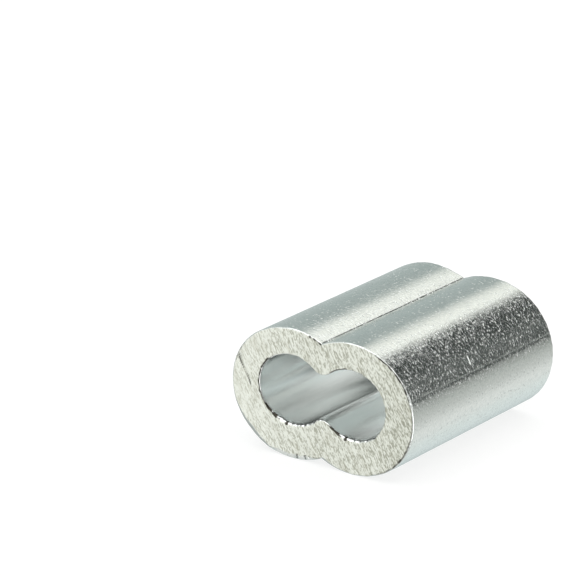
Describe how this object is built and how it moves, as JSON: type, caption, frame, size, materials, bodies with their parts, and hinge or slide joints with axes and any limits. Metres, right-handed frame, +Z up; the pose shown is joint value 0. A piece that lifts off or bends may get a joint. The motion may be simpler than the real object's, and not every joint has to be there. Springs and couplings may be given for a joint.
{
  "type": "wire rope ferrule",
  "caption": "Aluminium hourglass sleeve that is crimped over a wire rope and its returning end to close an eye, here for 6 mm rope.",
  "frame": {"origin": "centre of the underside of the bounding box of the sleeve lying on its two barrels", "axes": "+X across the two barrels, +Y along the extrusion from the front sawn end to the rear one, +Z up"},
  "size_m": [0.021, 0.0234, 0.013],
  "materials": {
    "aluminium": "tumbled bright outside with small dings, sawn matt ends, drawn bore"
  },
  "bodies": {
    "root": {"ferrule_sleeve": "aluminium"}
  },
  "joints": []
}
